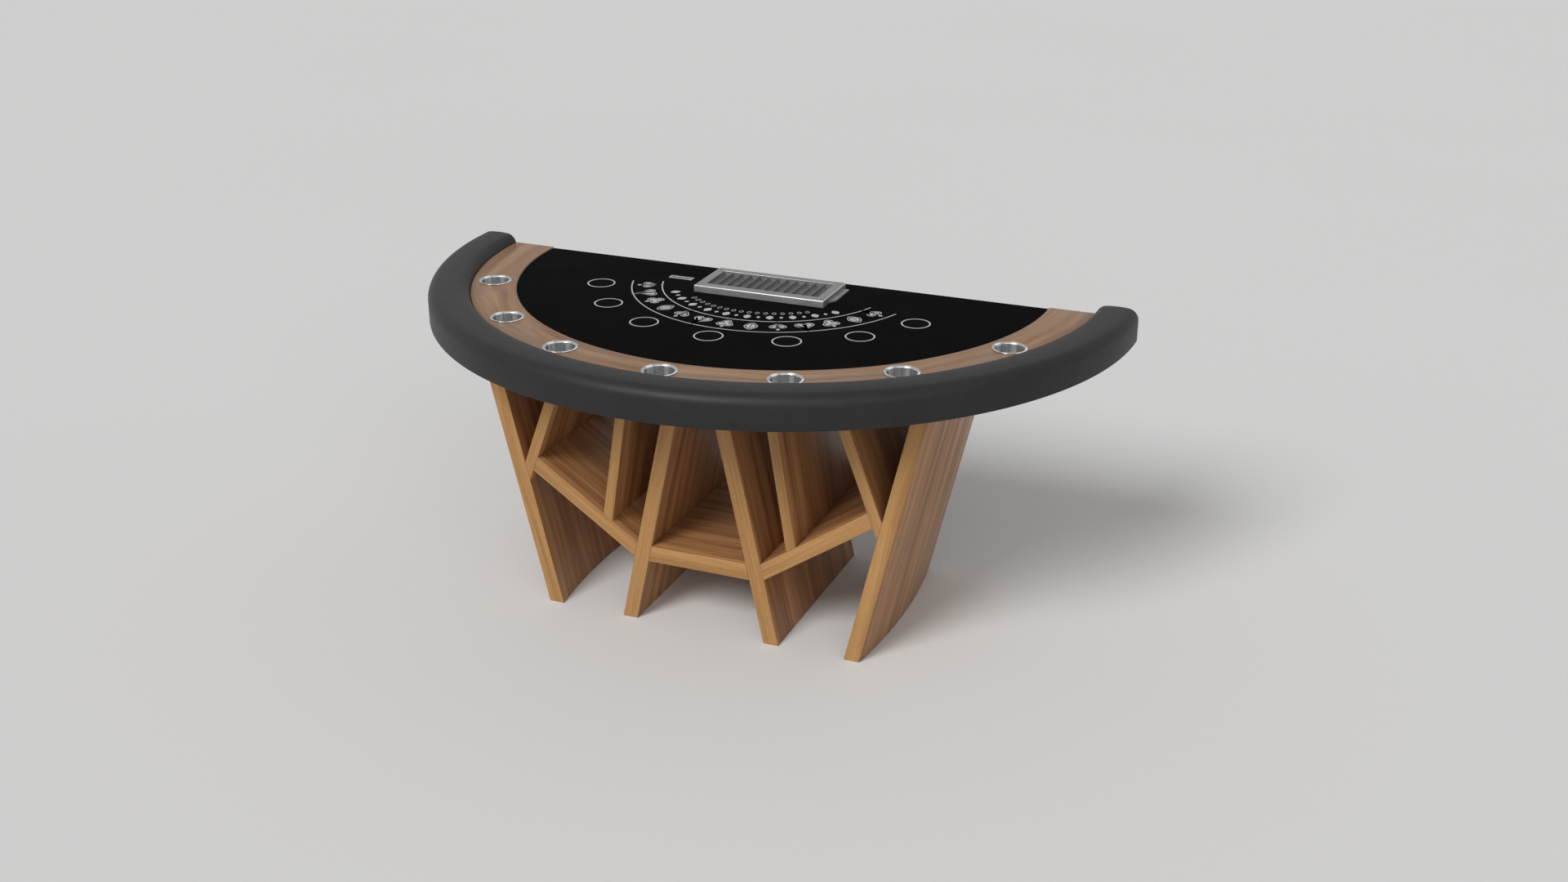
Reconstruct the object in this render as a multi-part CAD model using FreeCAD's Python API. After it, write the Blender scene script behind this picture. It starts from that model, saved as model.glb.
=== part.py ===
import FreeCAD, Part
import math
import os

# Half-round blackjack table on an open timber base of leaning panels.
# Millimetres. Z is up from the floor, players sit on the -Y side, and the dealer
# stands at the straight +Y edge. The origin is on the floor at the middle of the
# table's overall width and depth.

# ---------------------------------------------------------------- driving sizes

# Overall table
felt_height = 913.0              # playing surface above the floor
armrest_outer_radius = 1118.0    # half of the overall width
arc_centre_setback = 15.0        # the arcs are struck this far in from the dealer edge

# Playing surface, from the deck upwards
deck_thickness = 25.0
board_thickness = 9.0
underlay_thickness = 3.5
felt_thickness = 1.5
felt_radius = 846.0

# Wooden race-track between the felt and the armrest
track_outer_radius = 989.0
track_thickness = 18.0
track_felt_gap = 1.0
track_edge_bevel = 2.0

# Armrest
armrest_inner_radius = 990.0
armrest_crown = 34.0             # top of the padding above the felt
armrest_corner_radius = 34.0
armrest_corner_drop = 2.0        # centre of the corner rounds, below the felt
armrest_depth = 68.0             # lower edge of the padding below the felt
armrest_end_round = 14.0
rail_block_top = 12.0            # top of the timber inside the padding, above the felt
pad_inner_wall = 6.0
pad_outer_wall = 11.5
apron_thickness = 15.0
apron_edge_gap = 0.5             # apron to deck edge
apron_lift = 2.0                 # apron's lower edge above the padding's
soft_clearance = 0.3             # padding and cloth to anything hard

# Cup holders
cup_angles = (-65.5, -42.2, -22.0, 0.0, 22.0, 42.2, 65.5)
cup_circle_radius = 918.0
cup_body_radius = 43.0
cup_wall = 1.2
cup_depth = 76.0
cup_flange_radius = 51.0
cup_flange_thickness = 2.0
cup_mouth_bevel = 1.5
cup_foot_bevel = 6.0
cup_hole_clearance = 1.0

# Chip tray
tray_length = 429.0
tray_width = 197.0
tray_height_over_felt = 21.0
tray_edge_setback = 52.5         # back of the tray in from the dealer edge
tray_sheet = 3.0
tray_rim_side = 28.0
tray_rim_front = 32.0
tray_rim_back = 28.0
tray_edge_bevel = 2.0
tray_recess_clearance = 1.0
tube_count = 12
tube_divider = 2.0
tube_drop = 2.0                  # centre of the half-round tubes below the bank's top
bank_margin = 8.0                # tube bank beyond the window, under the rim
lug_reach = 17.0
lug_length = 140.0
lug_thickness = 6.0
lug_setback = 14.0               # lug's back end from the back of the tray
lug_corner_run = 30.0

# Drop slot
slot_centre_x = -308.0
slot_edge_setback = 141.0        # middle of the slot in from the dealer edge
slot_plate_length = 81.0
slot_plate_width = 25.0
slot_plate_thickness = 2.0
slot_length = 62.0
slot_width = 8.0
slot_passage_clearance = 2.0     # cloth and boards around the slot in the plate

# Base panels, all with their front edges in one upright plane
base_front_setback = 712.5       # front plane in from the dealer edge
base_back_setback = 52.5
leg_thickness = 47.0
outer_leg_foot = 514.0           # outward face of the outer leg at the floor
outer_leg_lean = 13.3            # degrees, outwards going up
outer_leg_bow = 26.0             # bulge of the outer leg at the middle of its depth
inner_leg_foot = 258.0
inner_leg_lean = 12.4            # degrees, inwards going up
strut_thickness = 34.0
strut_lean = 20.7                # degrees, inwards going up
strut_meets_leg = 463.0          # height at which the strut leaves the outer leg
shelf_thickness = 47.0
shelf_slope = 34.2               # degrees, rising outwards
shelf_height_at_leg = 260.5
centre_shelf_thickness = 52.0
centre_shelf_top = 255.0
divider_thickness = 32.0
divider_lean = 9.0               # degrees, inwards going up
divider_foot = 312.4             # outward face where it stands on the shelf

# Cleats and fasteners under the deck
cleat_width = 34.0
cleat_height = 30.0
cleat_end_inset = 80.0
cleat_screw_count = 2            # per cleat
cleat_screw_end = 60.0
screw_radius = 2.5
screw_head_radius = 5.0
screw_head_height = 3.0
screw_bite = 14.0                # length in the deck
fastener_clearance = 0.1
bolt_circle_radius = 1045.0
bolt_angles = (-81.0, -54.0, -27.0, 0.0, 27.0, 54.0, 81.0)
bolt_radius = 4.0
bolt_head_across_flats = 13.0
bolt_head_height = 5.5
bolt_bite = 18.0                 # length in the rail block

# ---------------------------------------------------------------- derived sizes

overall_depth = arc_centre_setback + armrest_outer_radius
dealer_y = overall_depth / 2
arc_y = dealer_y - arc_centre_setback
deck_top = felt_height - felt_thickness - underlay_thickness - board_thickness
deck_bottom = deck_top - deck_thickness
deck_radius = armrest_outer_radius - pad_outer_wall - soft_clearance - apron_thickness - apron_edge_gap
base_front = dealer_y - base_front_setback
base_back = dealer_y - base_back_setback
base_middle = (base_front + base_back) / 2


def tan(angle):
    return math.tan(math.radians(angle))


def cos(angle):
    return math.cos(math.radians(angle))


def vector(x, y, z):
    return FreeCAD.Vector(x, y, z)


def arc_point(radius, angle):
    """Point on a table arc; angle 0 faces the players, positive to their right."""
    turn = math.radians(angle)
    return radius * math.sin(turn), arc_y - radius * math.cos(turn)


def box(x_low, x_high, y_low, y_high, z_low, z_high):
    size = (x_high - x_low, y_high - y_low, z_high - z_low)
    return Part.makeBox(*size, vector(x_low, y_low, z_low))


def cylinder(x, y, z_low, z_high, radius):
    return Part.makeCylinder(radius, z_high - z_low, vector(x, y, z_low))


def prism(corners, y_low, y_high):
    """Panel with the given corners in the XZ plane, running from y_low to y_high."""
    points = [vector(x, y_low, z) for x, z in corners]
    face = Part.Face(Part.makePolygon(points + points[:1]))
    return face.extrude(vector(0, y_high - y_low, 0))


def mirrored(shape):
    return shape.mirror(vector(0, 0, 0), vector(1, 0, 0))


def turned_half(edges, straight):
    """Section of (radius, height) edges swept round the players' side and on to the dealer edge."""
    face = Part.Face(Part.Wire(edges))
    face.translate(vector(0, arc_y, 0))
    sweep = face.revolve(vector(0, arc_y, 0), vector(0, 0, 1), -180)
    right_end = face.extrude(vector(0, straight, 0))
    return sweep.fuse([right_end, mirrored(right_end)]).removeSplitter()


def section_line(start, end):
    return Part.makeLine(vector(start[0], 0, start[1]), vector(end[0], 0, end[1]))


def section_arc(start, middle, end):
    points = [vector(radius, 0, height) for radius, height in (start, middle, end)]
    return Part.Arc(*points).toShape()


def section_polygon(corners):
    return [section_line(a, b) for a, b in zip(corners, corners[1:] + corners[:1])]


def ring_section(inner, outer, low, high):
    return section_polygon([(inner, low), (outer, low), (outer, high), (inner, high)])


def half_disc(radius, low, high, straight):
    """D-shaped board: half disc on the players' side, square strip out to the dealer edge."""
    disc = Part.makeCylinder(radius, high - low, vector(0, arc_y, low), vector(0, 0, 1), 180)
    disc.rotate(vector(0, arc_y, 0), vector(0, 0, 1), 180)
    strip = box(-radius, radius, arc_y, arc_y + straight, low, high)
    return disc.fuse(strip).removeSplitter()


def save(name, shape):
    shape.exportStep(os.path.join("parts", name + ".step"))


os.makedirs("parts", exist_ok=True)

# ---------------------------------------------------------------- base panels
# The right-hand half is built, and the left-hand half is its mirror image.

leg_run = leg_thickness / cos(outer_leg_lean)
inner_leg_run = leg_thickness / cos(inner_leg_lean)
strut_run = strut_thickness / cos(strut_lean)
shelf_run = shelf_thickness / cos(shelf_slope)
divider_run = divider_thickness / cos(divider_lean)


class Upright:
    """A leaning line in the XZ plane, x = foot + rise * height."""

    def __init__(self, foot, rise):
        self.foot = foot
        self.rise = rise

    def at(self, height):
        return self.foot + self.rise * height, height

    def meets(self, level):
        """Where this line meets a Level."""
        height = (level.height + level.slope * self.foot) / (1 - level.slope * self.rise)
        return self.at(height)


class Level:
    """A sloping line in the XZ plane, height + slope * x."""

    def __init__(self, height, slope):
        self.height = height
        self.slope = slope


outer_face = Upright(outer_leg_foot, tan(outer_leg_lean))
outer_inside = Upright(outer_leg_foot - leg_run, tan(outer_leg_lean))
inner_face = Upright(inner_leg_foot, -tan(inner_leg_lean))
inner_inside = Upright(inner_leg_foot - inner_leg_run, -tan(inner_leg_lean))

strut_start = outer_inside.at(strut_meets_leg)[0]
strut_outside = Upright(strut_start + tan(strut_lean) * strut_meets_leg, -tan(strut_lean))
strut_inside = Upright(strut_outside.foot - strut_run, -tan(strut_lean))

shelf_start = inner_face.at(shelf_height_at_leg)[0]
shelf_top = Level(shelf_height_at_leg - tan(shelf_slope) * shelf_start, tan(shelf_slope))
shelf_under = Level(shelf_top.height - shelf_run, tan(shelf_slope))

divider_stand = shelf_top.height + shelf_top.slope * divider_foot
divider_outside = Upright(divider_foot + tan(divider_lean) * divider_stand, -tan(divider_lean))
divider_inside = Upright(divider_outside.foot - divider_run, -tan(divider_lean))


def bowed_plan(face_foot, other_foot):
    """Floor plan between a bowed line at face_foot and another, or a straight one if far out."""
    def bowed(foot):
        points = (vector(foot, base_front, 0), vector(foot + outer_leg_bow, base_middle, 0),
                  vector(foot, base_back, 0))
        return Part.Arc(*points).toShape()

    ends = [Part.makeLine(vector(face_foot, y, 0), vector(other_foot, y, 0)) for y in (base_front, base_back)]
    edges = Part.sortEdges([bowed(face_foot), bowed(other_foot)] + ends)[0]
    return Part.Face(Part.Wire(edges))


def leaning(face, rise):
    return face.extrude(vector(rise * deck_bottom, 0, deck_bottom))


outer_leg = leaning(bowed_plan(outer_inside.foot, outer_face.foot), outer_face.rise)
beyond_leg = leaning(bowed_plan(outer_inside.foot, outer_face.foot + 4 * leg_run), outer_face.rise)

inner_corners = [inner_inside.at(0), inner_face.at(0), inner_face.at(deck_bottom), inner_inside.at(deck_bottom)]
inner_leg = prism(inner_corners, base_front, base_back)

# The strut's foot is scribed to the bowed inside of the outer leg.
strut_low = strut_meets_leg - 4 * leg_run
strut_corners = [strut_outside.at(strut_low), strut_outside.at(deck_bottom),
                 strut_inside.at(deck_bottom), strut_inside.at(strut_low)]
strut = prism(strut_corners, base_front, base_back).cut(beyond_leg)
strut = max(strut.Solids, key=lambda solid: solid.BoundBox.ZMax)

shelf_corners = [inner_face.meets(shelf_under), strut_inside.meets(shelf_under),
                 strut_inside.meets(shelf_top), inner_face.meets(shelf_top)]
side_shelf = prism(shelf_corners, base_front, base_back)

divider_corners = [divider_inside.meets(shelf_top), divider_outside.meets(shelf_top),
                   divider_outside.at(deck_bottom), divider_inside.at(deck_bottom)]
divider = prism(divider_corners, base_front, base_back)

centre_shelf_low = centre_shelf_top - centre_shelf_thickness
shelf_right = [inner_inside.at(centre_shelf_low), inner_inside.at(centre_shelf_top)]
shelf_left = [(-x, z) for x, z in reversed(shelf_right)]
centre_shelf = prism(shelf_right + shelf_left, base_front, base_back)

for name, panel in (("outer_leg", outer_leg), ("inner_leg", inner_leg), ("strut", strut),
                    ("side_shelf", side_shelf), ("divider", divider)):
    save(name + "_right", panel)
    save(name + "_left", mirrored(panel))
save("centre_shelf", centre_shelf)

# ---------------------------------------------------------------- cleats under the deck

cleat_low = deck_bottom - cleat_height
cleat_front = base_front + cleat_end_inset
cleat_back = base_back - cleat_end_inset
cleat_screw_step = (cleat_back - cleat_front - 2 * cleat_screw_end) / (cleat_screw_count - 1)
cleat_screw_y = [cleat_front + cleat_screw_end + n * cleat_screw_step for n in range(cleat_screw_count)]


def screw_at(x, y, radius_gain):
    shank_top = deck_bottom + screw_bite
    return cylinder(x, y, cleat_low, shank_top, screw_radius + radius_gain)


outer_cleat_inside = outer_inside.at(deck_bottom)[0] - cleat_width
outer_cleat = box(outer_cleat_inside, outer_cleat_inside + 3 * cleat_width,
                  cleat_front, cleat_back, cleat_low, deck_bottom).cut(beyond_leg)
outer_cleat = min(outer_cleat.Solids, key=lambda solid: solid.BoundBox.XMin)
inner_cleat_low = inner_face.at(cleat_low)
inner_cleat_high = inner_face.at(deck_bottom)
inner_cleat_outside = inner_cleat_low[0] + cleat_width
inner_cleat = prism([inner_cleat_low, (inner_cleat_outside, cleat_low),
                     (inner_cleat_outside, deck_bottom), inner_cleat_high], cleat_front, cleat_back)

cleat_screw_x = (outer_cleat_inside + cleat_width / 2, inner_cleat_outside - cleat_width / 2)
screw_places = [(side * x, y) for side in (-1, 1) for x in cleat_screw_x for y in cleat_screw_y]
screw_holes = [screw_at(x, y, fastener_clearance) for x, y in screw_places]
screws = []
for x, y in screw_places:
    head = cylinder(x, y, cleat_low - screw_head_height, cleat_low, screw_head_radius)
    screws.append(head.fuse(screw_at(x, y, 0)).removeSplitter())

for name, cleat in (("outer_cleat", outer_cleat), ("inner_cleat", inner_cleat)):
    save(name + "_right", cleat.cut(screw_holes))
    save(name + "_left", mirrored(cleat).cut(screw_holes))
save("cleat_screws", Part.makeCompound(screws))

# ---------------------------------------------------------------- openings through the top

slot_y = dealer_y - slot_edge_setback
tray_back = dealer_y - tray_edge_setback
tray_front = tray_back - tray_width


def slot_hole(low, high, gain):
    half_length = slot_length / 2 + gain
    half_width = slot_width / 2 + gain
    middle = half_length - half_width
    bar = box(slot_centre_x - middle, slot_centre_x + middle, slot_y - half_width, slot_y + half_width, low, high)
    ends = [cylinder(slot_centre_x + side * middle, slot_y, low, high, half_width) for side in (-1, 1)]
    return bar.fuse(ends).removeSplitter()


tray_recess = box(-tray_length / 2 - tray_recess_clearance, tray_length / 2 + tray_recess_clearance,
                  tray_front - tray_recess_clearance, tray_back + tray_recess_clearance,
                  deck_top, felt_height + 1)
slot_passage = slot_hole(deck_bottom - 1, felt_height + 1, slot_passage_clearance)
cup_places = [arc_point(cup_circle_radius, angle) for angle in cup_angles]
cup_hole_radius = cup_body_radius + cup_hole_clearance
cup_holes = [cylinder(x, y, deck_bottom - 1, felt_height + 10, cup_hole_radius) for x, y in cup_places]
bolt_places = [arc_point(bolt_circle_radius, angle) for angle in bolt_angles]
bolt_top = deck_top + bolt_bite
bolt_holes = [cylinder(x, y, deck_bottom, bolt_top + fastener_clearance, bolt_radius + fastener_clearance)
              for x, y in bolt_places]

# ---------------------------------------------------------------- deck and playing surface

deck = half_disc(deck_radius, deck_bottom, deck_top, arc_centre_setback)
save("deck", deck.cut(cup_holes + bolt_holes + screw_holes + [slot_passage]))

# The cloth turns down over the dealer edge, so the layers under it stop short by its thickness.
layer_straight = arc_centre_setback - felt_thickness - soft_clearance
board_top = deck_top + board_thickness
board = half_disc(felt_radius, deck_top, board_top, layer_straight)
save("playing_board", board.cut([tray_recess, slot_passage]))

underlay_top = board_top + underlay_thickness
underlay = half_disc(felt_radius, board_top, underlay_top, layer_straight)
save("foam_underlay", underlay.cut([tray_recess, slot_passage]))

felt = half_disc(felt_radius, underlay_top, felt_height, arc_centre_setback)
felt_lip = box(-felt_radius, felt_radius, dealer_y - felt_thickness, dealer_y,
               deck_top + soft_clearance, underlay_top)
felt = felt.fuse(felt_lip).removeSplitter()
save("felt_cloth", felt.cut([tray_recess, slot_passage]))

# ---------------------------------------------------------------- race-track

track_inner_radius = felt_radius + track_felt_gap
track_top = deck_top + track_thickness
track_section = section_polygon([
    (track_inner_radius, deck_top),
    (track_outer_radius, deck_top),
    (track_outer_radius, track_top),
    (track_inner_radius + track_edge_bevel, track_top),
    (track_inner_radius, track_top - track_edge_bevel),
])
track = turned_half(track_section, arc_centre_setback)
save("race_track", track.cut(cup_holes))

# ---------------------------------------------------------------- armrest

pad_foot = felt_height - armrest_depth
apron_outer = armrest_outer_radius - pad_outer_wall - soft_clearance
apron_inner = apron_outer - apron_thickness
rail_inner = armrest_inner_radius + pad_inner_wall + soft_clearance
rail_top = felt_height + rail_block_top
rail_straight = arc_centre_setback - pad_inner_wall - soft_clearance

rail = turned_half(ring_section(rail_inner, apron_outer, deck_top, rail_top), rail_straight)
save("armrest_rail", rail.cut(bolt_holes))

apron = turned_half(ring_section(apron_inner, apron_outer, pad_foot + apron_lift, deck_top), rail_straight)
save("armrest_apron", apron)

# Padding: two corner rounds joined by a shallow crown that is tangent to both.
corner_height = felt_height - armrest_corner_drop
inner_corner = armrest_inner_radius + armrest_corner_radius
outer_corner = armrest_outer_radius - armrest_corner_radius
half_flat = (outer_corner - inner_corner) / 2
crown_rise = armrest_crown + armrest_corner_drop
crown_radius = ((half_flat ** 2 + crown_rise ** 2 - armrest_corner_radius ** 2)
                / (2 * (crown_rise - armrest_corner_radius)))
crown_top = felt_height + armrest_crown
crown_centre = ((inner_corner + outer_corner) / 2, crown_top - crown_radius)
tangent_turn = math.atan2(half_flat, corner_height - crown_centre[1])


def on_corner(centre_radius, turn):
    """Point on a corner round, turned from straight up towards the outside."""
    return (centre_radius + armrest_corner_radius * math.sin(turn),
            corner_height + armrest_corner_radius * math.cos(turn))


def armrest_outline(foot):
    """Closed outline of the armrest's cross-section down to the given height."""
    inner_tangent = on_corner(inner_corner, -tangent_turn)
    outer_tangent = on_corner(outer_corner, tangent_turn)
    inner_side = on_corner(inner_corner, -math.pi / 2)
    outer_side = on_corner(outer_corner, math.pi / 2)
    half_turn = (math.pi / 2 + tangent_turn) / 2
    inner_foot = (armrest_inner_radius, foot)
    outer_foot = (armrest_outer_radius, foot)
    return [
        section_line(inner_foot, inner_side),
        section_arc(inner_side, on_corner(inner_corner, -half_turn), inner_tangent),
        section_arc(inner_tangent, (crown_centre[0], crown_top), outer_tangent),
        section_arc(outer_tangent, on_corner(outer_corner, half_turn), outer_side),
        section_line(outer_side, outer_foot),
        section_line(outer_foot, inner_foot),
    ]


pad = turned_half(armrest_outline(pad_foot), arc_centre_setback)
end_edges = [edge for edge in pad.Edges
             if abs(edge.BoundBox.YMin - dealer_y) < 0.01 and abs(edge.BoundBox.YMax - dealer_y) < 0.01
             and edge.BoundBox.ZMax > corner_height + 1]
pad = pad.makeFillet(armrest_end_round, end_edges)
hollow_inner = rail_inner - soft_clearance
hollow_outer = apron_outer + soft_clearance
hollow_straight = rail_straight + soft_clearance
rail_hollow = turned_half(
    ring_section(hollow_inner, hollow_outer, deck_top - 1, rail_top + soft_clearance), hollow_straight)
track_side = armrest_inner_radius - 1
deck_hollow = turned_half(
    ring_section(track_side, hollow_outer, pad_foot - 1, deck_top + soft_clearance), arc_centre_setback + 1)
save("armrest_padding", pad.cut([rail_hollow, deck_hollow]))

bolts = []
for x, y in bolt_places:
    corners = []
    for n in range(6):
        corner_radius = bolt_head_across_flats / 2 / cos(30)
        turn = math.radians(60 * n)
        corners.append(vector(x + corner_radius * math.cos(turn), y + corner_radius * math.sin(turn),
                              deck_bottom - bolt_head_height))
    head = Part.Face(Part.makePolygon(corners + corners[:1])).extrude(vector(0, 0, bolt_head_height))
    shank = cylinder(x, y, deck_bottom, bolt_top, bolt_radius)
    bolts.append(head.fuse(shank).removeSplitter())
save("armrest_bolts", Part.makeCompound(bolts))

# ---------------------------------------------------------------- cup holders

flange_top = track_top + cup_flange_thickness
cup_inner_radius = cup_body_radius - cup_wall
cup_floor = track_top - cup_depth
foot_knee = cup_foot_bevel + cup_wall * (math.sqrt(2) - 1)

# Pressed cup: flat flange, bevelled mouth, straight wall, bevelled foot of the same thickness.
cup_section = section_polygon([
    (0, cup_floor),
    (cup_body_radius - cup_foot_bevel, cup_floor),
    (cup_body_radius, cup_floor + cup_foot_bevel),
    (cup_body_radius, track_top),
    (cup_flange_radius, track_top),
    (cup_flange_radius, flange_top),
    (cup_inner_radius + cup_mouth_bevel, flange_top),
    (cup_inner_radius, flange_top - cup_mouth_bevel),
    (cup_inner_radius, cup_floor + foot_knee),
    (cup_body_radius - foot_knee, cup_floor + cup_wall),
    (0, cup_floor + cup_wall),
])

for number, (x, y) in enumerate(cup_places, start=1):
    cup = Part.Face(Part.Wire(cup_section)).revolve(vector(0, 0, 0), vector(0, 0, 1), 360)
    cup.translate(vector(x, y, 0))
    save("cup_holder_%d" % number, cup)

# ---------------------------------------------------------------- chip tray

tray_top = felt_height + tray_height_over_felt
tray_half = tray_length / 2
rim_low = tray_top - tray_sheet
window_half = tray_half - tray_rim_side
window_front = tray_front + tray_rim_front
window_back = tray_back - tray_rim_back
tray_shell = box(-tray_half, tray_half, tray_front, tray_back, deck_top, tray_top)
top_edges = [edge for edge in tray_shell.Edges if edge.BoundBox.ZMin > tray_top - 0.01]
tray_shell = tray_shell.makeChamfer(tray_edge_bevel, top_edges)
tray_inside = box(-tray_half + tray_sheet, tray_half - tray_sheet,
                  tray_front + tray_sheet, tray_back - tray_sheet, deck_top, rim_low)
window = box(-window_half, window_half, window_front, window_back, rim_low, tray_top)

lug_back = tray_back - lug_setback
lug_front = lug_back - lug_length
lug_top = felt_height + lug_thickness
lug_outline = [(tray_half - tray_sheet, lug_back), (tray_half + lug_reach, lug_back),
               (tray_half + lug_reach, lug_front + lug_corner_run), (tray_half, lug_front),
               (tray_half - tray_sheet, lug_front)]
lug_points = [vector(x, y, felt_height) for x, y in lug_outline]
lug = Part.Face(Part.makePolygon(lug_points + lug_points[:1])).extrude(vector(0, 0, lug_thickness))
tray_frame = tray_shell.cut([tray_inside, window]).fuse([lug, mirrored(lug)]).removeSplitter()
save("chip_tray_frame", tray_frame)

tube_pitch = 2 * window_half / tube_count
tube_radius = (tube_pitch - tube_divider) / 2
tube_height = rim_low - tube_drop
bank = box(-window_half - bank_margin, window_half + bank_margin,
           window_front - bank_margin, window_back + bank_margin, deck_top, rim_low)
tubes = []
for n in range(tube_count):
    tube_x = -window_half + (n + 0.5) * tube_pitch
    start = vector(tube_x, window_front, tube_height)
    groove = Part.makeCylinder(tube_radius, window_back - window_front, start, vector(0, 1, 0))
    mouth = box(tube_x - tube_radius, tube_x + tube_radius, window_front, window_back, tube_height, rim_low)
    tubes.append(groove.fuse(mouth).removeSplitter())
save("chip_tray_tubes", bank.cut(tubes))

# ---------------------------------------------------------------- drop slot

plate = box(slot_centre_x - slot_plate_length / 2, slot_centre_x + slot_plate_length / 2,
            slot_y - slot_plate_width / 2, slot_y + slot_plate_width / 2,
            felt_height, felt_height + slot_plate_thickness)
corners = [edge for edge in plate.Edges if edge.BoundBox.ZLength > slot_plate_thickness / 2]
plate = plate.makeFillet(slot_plate_thickness, corners)
save("drop_slot_plate", plate.cut(slot_hole(felt_height - 1, felt_height + 2 * slot_plate_thickness, 0)))
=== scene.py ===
import bmesh
import bpy
import math
from mathutils import Matrix, Vector


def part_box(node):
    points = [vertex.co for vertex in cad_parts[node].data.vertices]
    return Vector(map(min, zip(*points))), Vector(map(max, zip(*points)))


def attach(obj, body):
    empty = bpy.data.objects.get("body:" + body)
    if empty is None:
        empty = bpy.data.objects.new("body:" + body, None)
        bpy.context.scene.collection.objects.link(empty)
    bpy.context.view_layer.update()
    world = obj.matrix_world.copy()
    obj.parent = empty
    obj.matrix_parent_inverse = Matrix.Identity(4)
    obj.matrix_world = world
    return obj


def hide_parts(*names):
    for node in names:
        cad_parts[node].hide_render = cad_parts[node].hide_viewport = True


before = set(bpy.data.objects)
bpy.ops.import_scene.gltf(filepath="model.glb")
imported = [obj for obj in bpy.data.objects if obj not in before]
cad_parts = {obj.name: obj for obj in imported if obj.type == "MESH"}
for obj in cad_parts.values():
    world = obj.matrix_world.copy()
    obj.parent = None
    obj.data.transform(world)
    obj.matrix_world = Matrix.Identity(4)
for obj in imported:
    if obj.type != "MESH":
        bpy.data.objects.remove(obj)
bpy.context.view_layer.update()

# ---------------------------------------------------------------- base panels
# Eleven timber panels lean against each other and carry the top, glued and dowelled
# at their joints. Each is veneered board with the grain along it, a paler solid
# lipping on its front and back edges, and satin lacquer all over.

panel_nodes = ["centre_shelf"]
for panel in ("outer_leg", "inner_leg", "strut", "side_shelf", "divider"):
    panel_nodes += [panel + "_left", panel + "_right"]
panel_edge_round = 0.0015
face_tones = [(0.0, (0.150, 0.062, 0.023)), (0.38, (0.290, 0.134, 0.052)),
              (0.62, (0.415, 0.208, 0.086)), (1.0, (0.540, 0.295, 0.130))]
lipping_tones = [(0.0, (0.230, 0.108, 0.037)), (0.4, (0.352, 0.180, 0.062)),
                 (0.65, (0.440, 0.238, 0.086)), (1.0, (0.520, 0.295, 0.114))]


class Value:
    """A shader value; Python's operators on it add the Math nodes that work it out."""

    def __init__(self, finish, socket):
        self.finish = finish
        self.socket = socket

    def __add__(self, other):
        return self.finish.math("ADD", self, other)

    def __sub__(self, other):
        return self.finish.math("SUBTRACT", self, other)

    def __rsub__(self, other):
        return self.finish.math("SUBTRACT", other, self)

    def __mul__(self, other):
        return self.finish.math("MULTIPLY", self, other)

    def __abs__(self):
        return self.finish.math("ABSOLUTE", self)

    def __lt__(self, other):
        return self.finish.math("LESS_THAN", self, other)

    def __gt__(self, other):
        return self.finish.math("GREATER_THAN", self, other)

    __radd__ = __add__
    __rmul__ = __mul__


class Finish:
    """A material under construction around one Principled shader."""

    def __init__(self, name, constants):
        self.material = bpy.data.materials.new(name)
        self.material.use_nodes = True
        self.tree = self.material.node_tree
        self.shader = self.tree.nodes["Principled BSDF"]
        for socket, value in constants.items():
            self.feed(self.shader.inputs[socket], value)

    def feed(self, socket, value):
        if isinstance(value, Value):
            self.tree.links.new(value.socket, socket)
        else:
            socket.default_value = value

    def node(self, kind, settings, inputs, output=0):
        """Adds a node, sets it up, feeds its sockets and returns one of its outputs."""
        made = self.tree.nodes.new("ShaderNode" + kind)
        stops = settings.pop("stops", None)
        if stops:
            self.fill_ramp(made.color_ramp, stops)
        for setting, value in settings.items():
            setattr(made, setting, value)
        for socket, value in inputs.items():
            self.feed(made.inputs[socket], value)
        return Value(self, made.outputs[output])

    def fill_ramp(self, ramp, stops):
        while len(ramp.elements) < len(stops):
            ramp.elements.new(0.5)
        for element, (place, colour) in zip(ramp.elements, stops):
            element.position = place
            element.color = (*colour, 1.0)

    def math(self, operation, *values):
        return self.node("Math", {"operation": operation}, dict(enumerate(values)))

    def join(self, x, y, z):
        return self.node("CombineXYZ", {}, {"X": x, "Y": y, "Z": z})

    def parts(self, vector):
        split = self.node("SeparateXYZ", {}, {"Vector": vector}).socket.node
        return [Value(self, socket) for socket in split.outputs]

    def noise(self, place, scale, detail):
        return self.node("TexNoise", {}, {"Vector": place, "Scale": scale, "Detail": detail})

    def ramp(self, share, stops):
        return self.node("ValToRGB", {"stops": stops}, {"Fac": share})

    def mix(self, share, first, second):
        """A colour between two colours."""
        return self.node("Mix", {"data_type": "RGBA"}, {0: share, 6: first, 7: second}, output=2)

    def object_place(self):
        return self.node("TexCoord", {}, {}, output="Object")

    def wear(self, colour, roughness, height, depth):
        """Feeds what varies over the surface; height times depth, in metres, raises it."""
        self.feed(self.shader.inputs["Base Color"], colour)
        self.feed(self.shader.inputs["Roughness"], roughness)
        normal = self.node("Bump", {}, {"Height": height, "Distance": depth})
        self.feed(self.shader.inputs["Normal"], normal)


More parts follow.
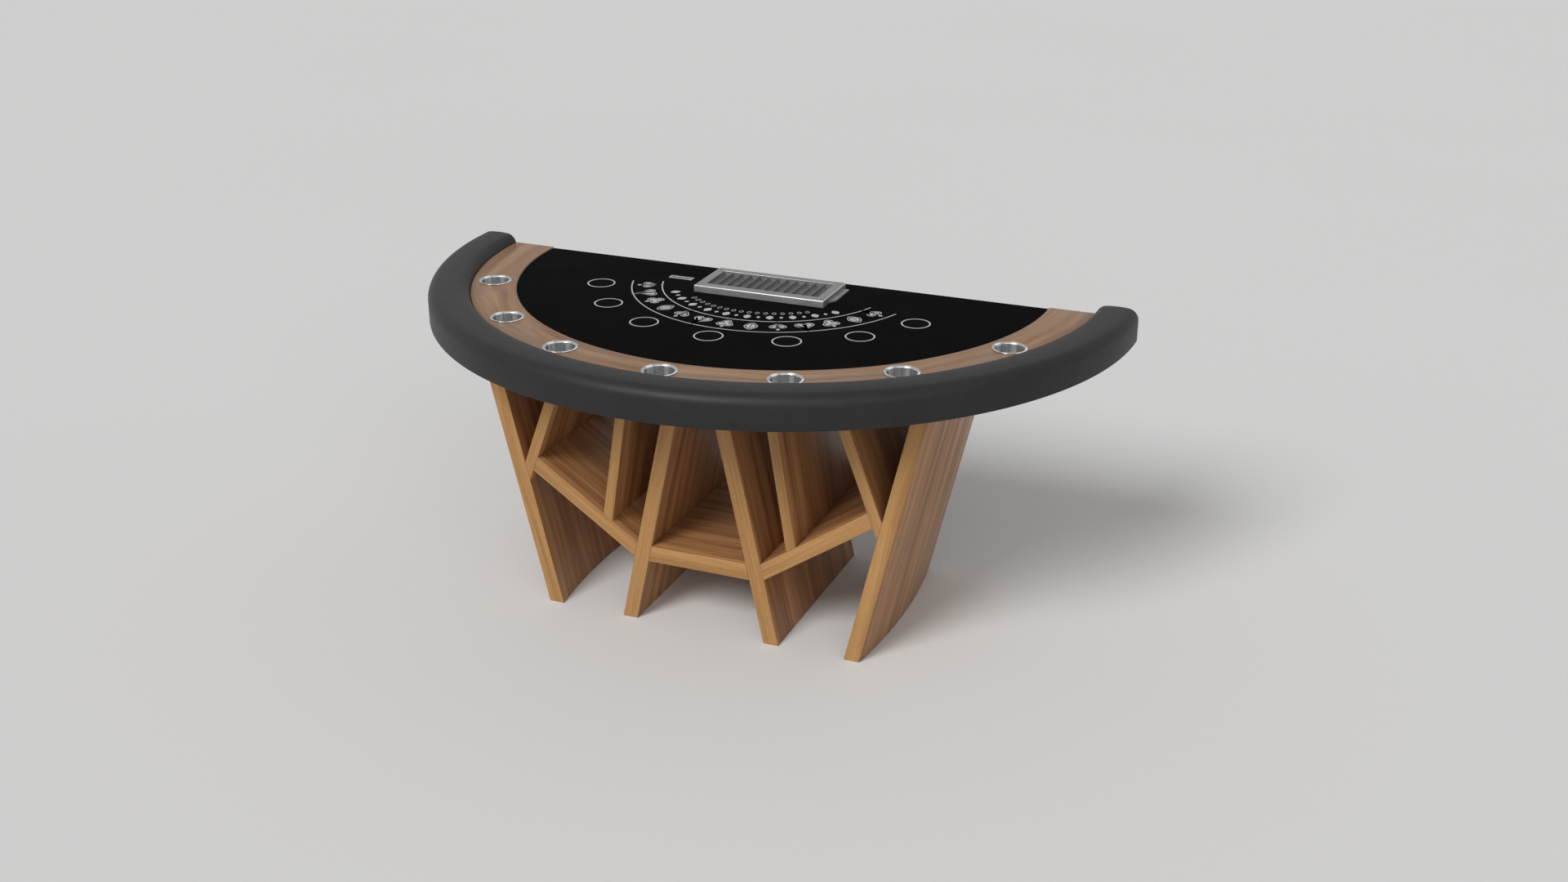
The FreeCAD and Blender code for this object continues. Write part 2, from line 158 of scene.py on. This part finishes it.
def timber(name, tones, contrast):
    """Lacquered timber on the grain map: wavy bands, fine fibres and short dark pores."""
    finish = Finish(name, {"Specular IOR Level": 0.3, "Coat Weight": 0.12, "Coat Roughness": 0.3})
    along, across, _ = finish.parts(finish.node("UVMap", {"uv_map": "grain"}, {}))
    sway = finish.noise(finish.join(along * 1.6, across * 4, 0.0), 1.0, 2.0) - 0.5
    drawn = across + sway * 0.05
    bands = finish.noise(finish.join(along * 0.8, drawn * 26, 0.0), 1.0, 3.0) - 0.5
    fibres = finish.noise(finish.join(along * 5, drawn * 210, 0.0), 1.0, 4.0) - 0.5
    pores = finish.noise(finish.join(along * 60, drawn * 1500, 0.0), 1.0, 2.0) > 0.62
    tone = bands * (1.5 * contrast) + fibres * contrast + 0.5
    colour = finish.mix(pores * 0.35, finish.ramp(tone, tones), (*tones[0][1], 1.0))
    finish.wear(colour, fibres * 0.3 + 0.42, fibres * 0.4 - pores, 0.00012)
    return finish


def merged_copy(node):
    """A copy of a CAD node with its corners shared and its flat faces whole."""
    work = bmesh.new()
    work.from_mesh(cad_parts[node].data)
    bmesh.ops.remove_doubles(work, verts=work.verts, dist=0.00001)
    bmesh.ops.dissolve_limit(work, angle_limit=math.radians(0.5), verts=work.verts, edges=work.edges)
    return work


def ease_edges(work, width, segments, picked=lambda edge: True):
    """Rounds every sharp edge that is picked."""
    sharp = [edge for edge in work.edges
             if len(edge.link_faces) == 2 and edge.calc_face_angle() > math.radians(28) and picked(edge)]
    bmesh.ops.bevel(work, geom=sharp, offset=width, offset_type="OFFSET", segments=segments,
                    profile=0.5, affect="EDGES", clamp_overlap=True, material=-1)


def long_way(work):
    """Direction of a panel's longest edge that doesn't run front to back."""
    runs = [edge.verts[1].co - edge.verts[0].co for edge in work.edges]
    longest = max((run for run in runs if abs(run.y) < 0.001), key=lambda run: run.length)
    return longest.normalized()


def map_panel(work, grain, shift):
    """Writes the grain map of a panel: metres along the grain and across it."""
    layer = work.loops.layers.uv.new("grain")
    through = grain.cross(Vector((0, 1, 0)))
    for face in work.faces:
        face.material_index = int(abs(face.normal.y) > 0.7)
        end_grain = abs(face.normal.dot(grain)) > 0.7
        for loop in face.loops:
            place = loop.vert.co
            along = place.y if end_grain else place.dot(grain)
            across = place.dot(through) if face.material_index or end_grain else place.y
            loop[layer].uv = (along + shift, across + shift)


def finished(work, name, body, finishes, replaced=(), smooth_below=35):
    """Makes a bmesh into a piece of the table that rides on a body and wears its finishes."""
    mesh = bpy.data.meshes.new(name)
    work.to_mesh(mesh)
    work.free()
    mesh.shade_smooth()
    mesh.set_sharp_from_angle(angle=math.radians(smooth_below))
    for finish in finishes:
        mesh.materials.append(finish.material)
    made = bpy.data.objects.new(name, mesh)
    bpy.context.scene.collection.objects.link(made)
    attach(made, body)
    if replaced:
        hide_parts(*replaced)
    return made


panel_finish = timber("veneered_panel", face_tones, 1.0)
lipping_finish = timber("solid_lipping", lipping_tones, 0.8)
for number, node in enumerate(panel_nodes):
    panel = merged_copy(node)
    grain = long_way(panel)
    ease_edges(panel, panel_edge_round, 2)
    map_panel(panel, grain, 1.37 * number)
    finished(panel, node + "_timber", "table", [panel_finish, lipping_finish], [node])

# ---------------------------------------------------------------- boards under the top
# The deck is a birch plywood sheet with its plies open along the dealer's edge. The board
# under the cloth, the cleats, the rail block and the bent apron are plywood too. Screws
# and bolts are zinc plated, and a thin closed-cell foam sheet lies under the cloth.

ply_pitch = 0.0018
plywood = Finish("birch_plywood", {"Specular IOR Level": 0.3})
place = plywood.object_place()
x, y, z = plywood.parts(place)
facing_up = plywood.parts(plywood.node("NewGeometry", {}, {}, output="Normal"))[2]
on_edge = abs(facing_up) < 0.5
figure = plywood.noise(plywood.join(x * 2, y * 55, z * 55), 1.0, 4.0)
plies = plywood.math("SINE", z * (math.pi / ply_pitch)) * 0.5 + 0.5
sheet_colour = plywood.ramp(figure, [(0.25, (0.36, 0.25, 0.14)), (0.75, (0.56, 0.43, 0.27))])
ply_colour = plywood.ramp(plies * 0.7 + figure * 0.3, [(0.2, (0.22, 0.13, 0.07)), (0.8, (0.52, 0.39, 0.24))])
plywood.wear(plywood.mix(on_edge, sheet_colour, ply_colour), figure * 0.2 + 0.6, figure, 0.0002)

foam = Finish("closed_cell_foam", {"Specular IOR Level": 0.2})
cells = foam.noise(foam.object_place(), 900.0, 2.0)
foam.wear(foam.ramp(cells, [(0.3, (0.025, 0.025, 0.027)), (0.7, (0.055, 0.055, 0.058))]), cells * 0.1 + 0.85,
          cells, 0.0003)

zinc = Finish("zinc_plating", {"Metallic": 1.0})
spangle = zinc.noise(zinc.object_place(), 350.0, 3.0)
zinc.wear(zinc.ramp(spangle, [(0.3, (0.42, 0.43, 0.45)), (0.7, (0.62, 0.62, 0.60))]), spangle * 0.2 + 0.25,
          spangle, 0.00004)


def dress(finish, nodes):
    """Gives CAD nodes that stay in view their finish."""
    for node in nodes:
        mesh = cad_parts[node].data
        mesh.materials.clear()
        mesh.materials.append(finish.material)


dress(plywood, ["deck", "playing_board", "armrest_rail", "armrest_apron", "outer_cleat_left",
                "outer_cleat_right", "inner_cleat_left", "inner_cleat_right"])
dress(foam, ["foam_underlay"])
dress(zinc, ["cleat_screws", "armrest_bolts"])

# ---------------------------------------------------------------- race-track
# The flat timber ring between the cloth and the armrest is cut from board and lies on the
# deck, a little proud of the cloth. Its veneer is laid round the ring, so the grain
# follows the curve, and a lacquer finish seals it.

track_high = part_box("race_track")[1]
cloth_low, cloth_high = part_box("felt_cloth")
cloth_radius = cloth_high.x
dealer_edge = cloth_high.y
arc_centre = Vector((0, cloth_low.y + cloth_radius, 0))
track_tones = [(0.0, (0.120, 0.054, 0.024)), (0.35, (0.235, 0.124, 0.060)),
               (0.62, (0.335, 0.190, 0.098)), (1.0, (0.445, 0.270, 0.146))]
track_middle = (cloth_radius + track_high.x) / 2


def map_ring(work, radius):
    """Writes the grain map of a ring: metres round it and out from its centre."""
    layer = work.loops.layers.uv.new("grain")
    for face in work.faces:
        for loop in face.loops:
            arm = loop.vert.co - arc_centre
            turn = math.atan2(arm.x, -arm.y)
            loop[layer].uv = (turn * radius, math.hypot(arm.x, arm.y) - arm.z)


track_edge_round = 0.0008
track_finish = timber("track_veneer", track_tones, 0.9)
track = merged_copy("race_track")
ease_edges(track, track_edge_round, 2)
map_ring(track, track_middle)
finished(track, "race_track_veneer", "table", [track_finish], ["race_track"])

# ---------------------------------------------------------------- cloth
# Black wool cloth is stretched over the foam, turned down over the dealer's edge and
# stapled under it. It is cut out round the chip tray and the money slot. The edge of the
# fold is soft, and the short pile shows a faint fleck.

felt = Finish("black_wool_cloth", {"Specular IOR Level": 0.02})
place = felt.object_place()
pile = felt.noise(place, 1400.0, 3.0)
cloud = felt.noise(place, 9.0, 2.0)
black_tones = [(0.3, (0.0032, 0.0032, 0.0034)), (0.7, (0.0068, 0.0067, 0.0066))]
felt.wear(felt.ramp(pile * 0.7 + cloud * 0.3, black_tones), pile * 0.1 + 0.87, pile, 0.0002)

fold_round = 0.0011
fold_segments = 3
cloth = merged_copy("felt_cloth")
cloth_area = sum(face.calc_area() for face in cloth.faces if face.normal.z > 0.5
                 or face.normal.y > 0.5 and face.calc_center_median().y > dealer_edge - 0.0005)
ease_edges(cloth, fold_round, fold_segments)
cloth_piece = finished(cloth, "stretched_cloth", "table", [felt], ["felt_cloth"])

# ---------------------------------------------------------------- print on the cloth
# Seven betting rings, two long arcs with a band of card suits between them, and two rows
# of small marks inside are screen printed on the cloth in pale grey ink. They are struck
# from a point in front of the dealer, and stand upright to the players.

ink_thickness = 0.00015
mark_centre = Vector((0, dealer_edge - 0.084, 0))
ring_radius = 0.044
ring_line = 0.0046
ring_places = [(0.0, 0.612)]
for across, setback in ((0.227, 0.5705), (0.4065, 0.4515), (0.5194, 0.2826)):
    ring_places += [(-across, setback), (across, setback)]
band_radii = (0.458, 0.363)
band_line = 0.004
band_reach = math.radians(72.5)
suit_count = 13
suit_size = 0.030
suit_outline = 0.0032
suit_gap = 0.0036
suit_stem = 0.3                  # stem's size and drop under a spade or a club, of the suit's size
suit_stem_drop = 0.78
dot_row_radius = 0.327
dot_row_step = math.radians(6.0)
dot_sizes = (0.016, 0.008)
pip_row_radius = 0.290
pip_row_step = math.radians(5.0)
pip_size = 0.010
pip_line = 0.002


def heart(turn):
    """Outline of a heart at a turn from straight up, two units wide."""
    side = math.sin(turn) ** 3
    rise = 13 * math.cos(turn) - 5 * math.cos(2 * turn) - 2 * math.cos(3 * turn) - math.cos(4 * turn)
    return Vector((side, rise / 16 + 0.1, 0))


def spade(turn):
    point = heart(math.pi - turn)
    return Vector((0.88 * point.x, 0.3 - 0.85 * point.y, 0))


def club(turn):
    reach = 0.52 + 0.44 * abs(math.cos(1.5 * turn))
    return Vector((reach * math.sin(turn), reach * math.cos(turn) + 0.12, 0))


def diamond(turn):
    side, rise = math.sin(turn), math.cos(turn)
    return Vector((0.72 * math.copysign(abs(side) ** 1.4, side), math.copysign(abs(rise) ** 1.4, rise), 0))


def on_arc(radius, turn):
    """Place and heading on an arc of the print, with up towards the dealer."""
    place = mark_centre + Vector((radius * math.sin(turn), -radius * math.cos(turn), cloth_high.z))
    return Matrix.Translation(place) @ Matrix.Rotation(turn, 4, "Z")


def mark(work, outline, size, heading, segments=48):
    """A filled mark, and returns its face."""
    made = bmesh.ops.create_circle(work, cap_ends=True, segments=segments, radius=1)["verts"]
    for vert in made:
        vert.co = heading @ (size * outline(math.atan2(vert.co.x, vert.co.y)))
    return made[0].link_faces[0]


def hollow(work, face, line):
    """Cuts the middle out of a mark and leaves its outline."""
    bmesh.ops.inset_region(work, faces=[face], thickness=line, use_even_offset=True, use_boundary=True)
    bmesh.ops.delete(work, geom=[face], context="FACES_ONLY")


def inlined(work, face):
    """Leaves a mark's outline and its middle with a bare line between them."""
    bmesh.ops.inset_region(work, faces=[face], thickness=suit_outline, use_even_offset=True,
                           use_boundary=True)
    gap = bmesh.ops.inset_region(work, faces=[face], thickness=suit_gap, use_even_offset=True,
                                 use_boundary=True)["faces"]
    bmesh.ops.delete(work, geom=gap, context="FACES_ONLY")


def arc_line(work, radius, reach):
    """A printed line along an arc."""
    start = on_arc(radius, -reach)
    ends = [work.verts.new(start @ Vector((0, side * band_line / 2, 0))) for side in (-1, 1)]
    line = work.edges.new(ends)
    bmesh.ops.spin(work, geom=[line, *ends], cent=mark_centre, axis=(0, 0, 1), angle=2 * reach,
                   steps=120, use_duplicate=False)


ink = bmesh.new()
for across, setback in ring_places:
    heading = Matrix.Translation((across, dealer_edge - setback, cloth_high.z))
    ring = mark(ink, lambda turn: Vector((math.sin(turn), math.cos(turn), 0)), ring_radius, heading, 96)
    hollow(ink, ring, ring_line)
for radius in band_radii:
    arc_line(ink, radius, band_reach)
suits = (spade, heart, club, diamond)
for number in range(suit_count):
    turn = band_reach * (2 * (number + 0.5) / suit_count - 1)
    suit = suits[number % 4]
    heading = on_arc(sum(band_radii) / 2, turn)
    inlined(ink, mark(ink, suit, suit_size, heading))
    if suit in (spade, club):
        stem = heading @ Matrix.Translation((0, -suit_stem_drop * suit_size, 0))
        mark(ink, diamond, suit_stem * suit_size, stem, 4)
for number in range(-9, 10):
    small = (number + 9) % 2
    mark(ink, diamond, dot_sizes[small], on_arc(dot_row_radius, number * dot_row_step), 16 if small else 24)
for number in range(-8, 9):
    pip = mark(ink, diamond, pip_size, on_arc(pip_row_radius, number * pip_row_step), 16)
    hollow(ink, pip, pip_line)
raised = bmesh.ops.extrude_face_region(ink, geom=ink.faces[:], use_keep_orig=True)["geom"]
raised_verts = [item for item in raised if isinstance(item, bmesh.types.BMVert)]
bmesh.ops.translate(ink, vec=(0, 0, ink_thickness), verts=raised_verts)
bmesh.ops.recalc_face_normals(ink, faces=ink.faces)

ink_finish = Finish("screen_print_ink", {"Specular IOR Level": 0.2})
pile = ink_finish.noise(ink_finish.object_place(), 1100.0, 3.0)
ink_finish.wear(ink_finish.ramp(pile, [(0.28, (0.30, 0.30, 0.30)), (0.5, (0.56, 0.56, 0.56))]),
                pile * 0.1 + 0.8, pile, 0.0002)
print_piece = finished(ink, "cloth_print", "table", [ink_finish])

# ---------------------------------------------------------------- armrest padding
# Charcoal vinyl is pulled over a foam roll on the rail block, down the outside of the
# apron and under its lower edge, where it is stapled. Both ends on the dealer's side are
# closed flat. The skin is tight, with a fine grain and soft unevenness.

pad_low, pad_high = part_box("armrest_padding")
rail_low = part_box("armrest_rail")[0]
apron_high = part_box("armrest_apron")[1]
seat_gap = 0.0003
pad_track_gap = 0.001
pad_inner = track_high.x + pad_track_gap
pad_outer = pad_high.x
pad_middle = (pad_inner + pad_outer) / 2
pad_shoulder = 0.034
pad_bulge = 0.002                # middle of the crown above the top of the shoulders
pad_end_round = 0.005
pad_hem_round = 0.003
pad_sweep_steps = 128
pad_hem = pad_outer - apron_high.x - seat_gap
skin_thickness = 0.0045
pad_straight = dealer_edge - arc_centre.y
crown_half = (pad_outer - pad_inner) / 2
crown_slope = 2 * math.atan2(pad_bulge, crown_half - pad_shoulder)
shoulder_centre = pad_high.z - pad_bulge - pad_shoulder
shoulder_run = pad_shoulder * math.tan((math.pi / 2 - crown_slope) / 2)
crown_run = ((crown_half - pad_shoulder) / math.sin(crown_slope) + pad_shoulder) * math.tan(crown_slope)
shoulder_height = shoulder_centre + shoulder_run
crown_height = shoulder_height + crown_half * math.tan(crown_slope)


def polyline(work, points):
    """Joined edges through points, and returns their corners in order."""
    corners = [work.verts.new(point) for point in points]
    for a, b in zip(corners, corners[1:]):
        work.edges.new((a, b))
    return corners


def round_corner(work, corner, run, segments):
    """Rounds a corner of a line, starting a run away from it on each side."""
    bmesh.ops.bevel(work, geom=[corner], offset=run, offset_type="OFFSET", segments=segments,
                    profile=0.5, affect="VERTICES", clamp_overlap=False, material=-1)


pad = bmesh.new()
section = [(pad_inner, rail_low.z + seat_gap), (pad_inner, shoulder_height), (pad_middle, crown_height),
           (pad_outer, shoulder_height), (pad_outer, pad_low.z), (pad_outer - pad_hem, pad_low.z)]
corners = polyline(pad, [(radius, arc_centre.y, height) for radius, height in section])
for corner, run, segments in ((corners[1], shoulder_run, 10), (corners[2], crown_run, 8),
                              (corners[3], shoulder_run, 10), (corners[4], pad_hem_round, 3)):
    round_corner(pad, corner, run, segments)
bmesh.ops.spin(pad, geom=pad.verts[:] + pad.edges[:], cent=arc_centre, axis=(0, 0, 1),
               angle=-math.pi, steps=pad_sweep_steps, use_duplicate=False)
ends = [edge for edge in pad.edges if len(edge.link_faces) == 1
        and all(abs(vert.co.y - arc_centre.y) < 0.0001 for vert in edge.verts)]
stretched = bmesh.ops.extrude_edge_only(pad, edges=ends)["geom"]
end_verts = [item for item in stretched if isinstance(item, bmesh.types.BMVert)]
bmesh.ops.translate(pad, vec=(0, pad_straight, 0), verts=end_verts)
for side in (-1, 1):
    ring = [vert for vert in end_verts if side * vert.co.x > 0]
    inner_foot = min(ring, key=lambda vert: (round(abs(vert.co.x), 4), vert.co.z))
    hem = min(ring, key=lambda vert: (round(vert.co.z, 4), abs(vert.co.x)))
    notch = pad.verts.new((hem.co.x, hem.co.y, inner_foot.co.z))
    closing = [pad.edges.new((hem, notch)), pad.edges.new((notch, inner_foot))]
    rim = [edge for edge in pad.edges if all(vert in ring for vert in edge.verts)]
    bmesh.ops.edgeloop_fill(pad, edges=rim + closing)
bmesh.ops.remove_doubles(pad, verts=pad.verts, dist=0.00005)
bmesh.ops.recalc_face_normals(pad, faces=pad.faces)
end_rims = [edge for edge in pad.edges if len(edge.link_faces) == 2
            and all(vert.co.y > dealer_edge - 0.0001 for vert in edge.verts)
            and sum(vert.co.z for vert in edge.verts) / 2 > rail_low.z + 0.004]
bmesh.ops.bevel(pad, geom=end_rims, offset=pad_end_round, offset_type="OFFSET", segments=6, profile=0.5,
                affect="EDGES", clamp_overlap=True, material=-1)

vinyl = Finish("charcoal_vinyl", {"Specular IOR Level": 0.25})
place = vinyl.object_place()
pebbles = vinyl.node("TexVoronoi", {"feature": "SMOOTH_F1"},
                     {"Vector": place, "Scale": 900.0, "Smoothness": 0.6})
swell = vinyl.noise(place, 7.0, 2.0)
mottle = vinyl.noise(place, 60.0, 3.0)
charcoal_tones = [(0.3, (0.0150, 0.0150, 0.0155)), (0.7, (0.0210, 0.0210, 0.0215))]
vinyl.wear(vinyl.ramp(swell * 0.6 + mottle * 0.4, charcoal_tones), mottle * 0.14 + 0.41,
           pebbles * 0.4 + swell * 2.0, 0.00018)
pad_piece = finished(pad, "armrest_cover", "table", [vinyl], ["armrest_padding"], 50)
skin = pad_piece.modifiers.new("skin", "SOLIDIFY")
skin.thickness = skin_thickness
skin.offset = -1

# ---------------------------------------------------------------- cup holders
# Seven stainless cups are pressed from sheet, with a flat lip over the race-track, a round
# mouth and foot and a ring pressed into the floor. Pale streaks painted up the polished
# walls stand in for reflections of the lamps, and the cups drop loose into their holes.

cup_metal_thickness = 0.001
cup_lip = 0.008                  # outside of the wall to the edge of the lip
cup_lip_round = 0.0009
cup_mouth_round = 0.005
cup_foot_round = 0.007
cup_ring = 0.55                  # pressed ring, of the cup's radius
cup_ring_rise = 0.0012
cup_ring_slope = 0.003
cup_ring_round = 0.0012
cup_sweep_steps = 72

steel = Finish("polished_stainless", {"Metallic": 0.85, "Specular IOR Level": 0.8})
round_x, round_y, _ = steel.parts(steel.node("UVMap", {"uv_map": "spun"}, {}))
# Painted reflection: pale to white streaks up the walls, in the base colour, stand in for the lamps'
# reflections.
painted_reflection_streaks = steel.noise(steel.join(round_x * 1.7, round_y * 1.7, 0.0), 1.0, 1.0)
smear = steel.noise(steel.object_place(), 25.0, 1.0)
steel.wear(steel.ramp(painted_reflection_streaks, [(0.45, (0.52, 0.53, 0.54)), (0.55, (1.0, 1.0, 1.0))]), smear * 0.06 + 0.15,
           painted_reflection_streaks, 0.0004)


def map_round(work, middle, wall):
    """Writes the spun map of a cup: the same all the way up its wall, and flat over its floor."""
    layer = work.loops.layers.uv.new("spun")
    for face in work.faces:
        for loop in face.loops:
            arm = (loop.vert.co - middle).xy
            loop[layer].uv = arm / max(wall, arm.length)


def pressed_cup(node):
    """Spins the inside and the lip of one cup from its axis outwards."""
    low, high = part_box(node)
    middle = (low + high) / 2
    lip = high.x - middle.x
    wall = lip - cup_lip - cup_metal_thickness
    floor = low.z + cup_metal_thickness
    seat = track_high.z + cup_metal_thickness
    ring = cup_ring * wall
    work = bmesh.new()
    section = [(0, floor + cup_ring_rise), (ring, floor + cup_ring_rise), (ring + cup_ring_slope, floor),
               (wall, floor), (wall, high.z), (lip, high.z), (lip, seat)]
    corners = polyline(work, [(middle.x + radius, middle.y, height) for radius, height in section])
    for corner, run, segments in ((corners[1], cup_ring_round, 3), (corners[2], cup_ring_round, 3),
                                  (corners[3], cup_foot_round, 6), (corners[4], cup_mouth_round, 8),
                                  (corners[5], cup_lip_round, 3)):
        round_corner(work, corner, run, segments)
    bmesh.ops.spin(work, geom=work.verts[:] + work.edges[:], cent=middle, axis=(0, 0, 1),
                   angle=2 * math.pi, steps=cup_sweep_steps, use_merge=True, use_duplicate=False)
    bmesh.ops.remove_doubles(work, verts=work.verts, dist=0.00001)
    bmesh.ops.recalc_face_normals(work, faces=work.faces)
    map_round(work, middle, wall)
    innermost = min(work.faces, key=lambda face: (face.calc_center_median() - middle).xy.length)
    if innermost.normal.z < 0:
        bmesh.ops.reverse_faces(work, faces=work.faces)
    return work


for number in range(1, 8):
    node = "cup_holder_%d" % number
    cup = finished(pressed_cup(node), "pressed_cup_%d" % number, node, [steel], [node], 40)
    metal = cup.modifiers.new("wall", "SOLIDIFY")
    metal.thickness = cup_metal_thickness
    metal.offset = -1

# ---------------------------------------------------------------- chip tray
# The tray's frame is folded and welded from sheet steel and coated satin grey, with a
# support lug at each end; its rim's edges wear a brighter metal as a painted highlight. The
# bank of twelve half-round chip tubes is one grey moulding held up under the rim.

coating = Finish("satin_grey_coating", {"Specular IOR Level": 0.5, "Metallic": 0.35})
place = coating.object_place()
speckle = coating.noise(place, 1600.0, 2.0)
cloud = coating.noise(place, 22.0, 3.0)
coating_tones = [(0.35, (0.21, 0.21, 0.205)), (0.65, (0.29, 0.29, 0.28))]
coating.wear(coating.ramp(cloud * 0.5 + speckle * 0.5, coating_tones), cloud * 0.12 + 0.36, speckle, 0.00006)

moulding = Finish("grey_moulding", {"Specular IOR Level": 0.5})
place = moulding.object_place()
grain = moulding.noise(place, 1100.0, 2.0)
haze = moulding.noise(place, 30.0, 3.0)
moulding_tones = [(0.35, (0.115, 0.115, 0.116)), (0.65, (0.165, 0.165, 0.166))]
moulding.wear(moulding.ramp(haze * 0.6 + grain * 0.4, moulding_tones), haze * 0.15 + 0.42, grain, 0.00005)

# Painted highlight: a brighter bare-metal finish for the rim's edges, standing in for where the lamps catch
# them.
rim_highlight_metal = Finish("painted_highlight_edge", {"Metallic": 1.0})
mottle = rim_highlight_metal.noise(rim_highlight_metal.object_place(), 60.0, 3.0)
rim_highlight_metal.wear(rim_highlight_metal.ramp(mottle, [(0.3, (0.56, 0.56, 0.55)), (0.7, (0.68, 0.68, 0.67))]), mottle * 0.1 + 0.40,
               mottle, 0.00003)

tray_edge_round = 0.0009
tray_rim_depth = 0.003
tray_window_half = 0.188         # past the window's ends, short of the tray's own
tube_edge_round = 0.0005
tray_low, tray_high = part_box("chip_tray_frame")
tray_middle = (tray_low.y + tray_high.y) / 2
tray_frame = merged_copy("chip_tray_frame")
ease_edges(tray_frame, tray_edge_round, 3)
# The rim's sloped faces and the window's back edge take the painted highlight finish; the rest keeps the
# coating.
for face in tray_frame.faces:
    centre = face.calc_center_median()
    rim = centre.z > tray_high.z - tray_rim_depth
    sloped = 0.3 < face.normal.z < 0.99
    window_back = abs(centre.x) < tray_window_half and centre.y > tray_middle and face.normal.y < -0.9
    face.material_index = int(rim and (sloped or window_back))
finished(tray_frame, "tray_frame_coated", "chip_tray", [coating, rim_highlight_metal],
         ["chip_tray_frame"])
tube_bank = merged_copy("chip_tray_tubes")
ease_edges(tube_bank, tube_edge_round, 2)
finished(tube_bank, "chip_tube_bank", "chip_tray", [moulding], ["chip_tray_tubes"])

# ---------------------------------------------------------------- drop slot plate
# A small stainless plate frames the slot that banknotes are pushed through. It lies on
# the cloth and is brushed along its length.

brushed = Finish("brushed_plate", {"Metallic": 1.0})
x, y, z = brushed.parts(brushed.object_place())
strokes = brushed.noise(brushed.join(x * 25, y * 3200, z * 3200), 1.0, 3.0)
brushed.wear(brushed.ramp(strokes, [(0.3, (0.32, 0.32, 0.32)), (0.7, (0.50, 0.50, 0.49))]),
             strokes * 0.2 + 0.26, strokes, 0.00003)

plate_edge_round = 0.0005
slot_plate = merged_copy("drop_slot_plate")
ease_edges(slot_plate, plate_edge_round, 2)
finished(slot_plate, "slot_plate_brushed", "table", [brushed], ["drop_slot_plate"])

# ---------------------------------------------------------------- studio and camera
# A pale floor runs out past the view on every side. A wide soft lamp stands in front of
# the players' side, a weaker one to its right, and a pale sky fills the shadows. The sky
# is brighter to the camera and in reflections than what it lights the table with.

floor_reach = 45
floor_work = bmesh.new()
bmesh.ops.create_grid(floor_work, x_segments=1, y_segments=1, size=floor_reach)
floor_mesh = bpy.data.meshes.new("studio_floor")
floor_work.to_mesh(floor_mesh)
floor_work.free()
floor = bpy.data.objects.new("studio_floor", floor_mesh)
bpy.context.scene.collection.objects.link(floor)
floor_finish = Finish("pale_floor", {"Roughness": 0.9, "Specular IOR Level": 0.1})
tint = floor_finish.noise(floor_finish.object_place(), 0.3, 2.0)
floor_finish.feed(floor_finish.shader.inputs["Base Color"],
                  floor_finish.ramp(tint, [(0.0, (0.745, 0.740, 0.735)), (1.0, (0.765, 0.760, 0.756))]))
floor_mesh.materials.append(floor_finish.material)


def soft_lamp(name, place, strength, spread):
    """A far lamp that shines from a place's direction, as wide as its spread in degrees."""
    lamp = bpy.data.objects.new(name, bpy.data.lights.new(name, "SUN"))
    lamp.data.energy = strength
    lamp.data.angle = math.radians(spread)
    lamp.rotation_euler = Vector(place).to_track_quat("Z", "Y").to_euler()
    bpy.context.scene.collection.objects.link(lamp)


soft_lamp("key_lamp", (-1.0, -3.4, 3.0), 2.0, 24)
soft_lamp("fill_lamp", (2.5, -4.0, 2.6), 0.60, 50)

world = bpy.data.worlds.new("pale_sky")
world.use_nodes = True
sky = world.node_tree.nodes["Background"]
sky.inputs["Color"].default_value = (1.0, 1.0, 1.0, 1.0)
sky_glow = 0.32
sky_seen = 0.61
rays = world.node_tree.nodes.new("ShaderNodeLightPath").outputs
strength = rays["Is Camera Ray"]
for operation, term in (("MAXIMUM", rays["Is Glossy Ray"]), ("MAXIMUM", rays["Is Transmission Ray"]),
                        ("MULTIPLY", sky_seen - sky_glow), ("ADD", sky_glow)):
    step = world.node_tree.nodes.new("ShaderNodeMath")
    step.operation = operation
    world.node_tree.links.new(strength, step.inputs[0])
    if isinstance(term, float):
        step.inputs[1].default_value = term
    else:
        world.node_tree.links.new(term, step.inputs[1])
    strength = step.outputs[0]
world.node_tree.links.new(strength, sky.inputs["Strength"])
bpy.context.scene.world = world
bpy.context.scene.view_settings.view_transform = "Standard"

camera_place = Vector((2.0341, -4.4364, 2.6090))
camera_aim = Vector((-0.0149, 0.5665, 0.3447))
camera = bpy.data.objects.new("camera", bpy.data.cameras.new("camera"))
camera.data.lens = 40.73
camera.data.sensor_width = 36.0
camera.location = camera_place
camera.rotation_euler = (camera_aim - camera_place).to_track_quat("-Z", "Y").to_euler()
bpy.context.scene.collection.objects.link(camera)
bpy.context.scene.camera = camera
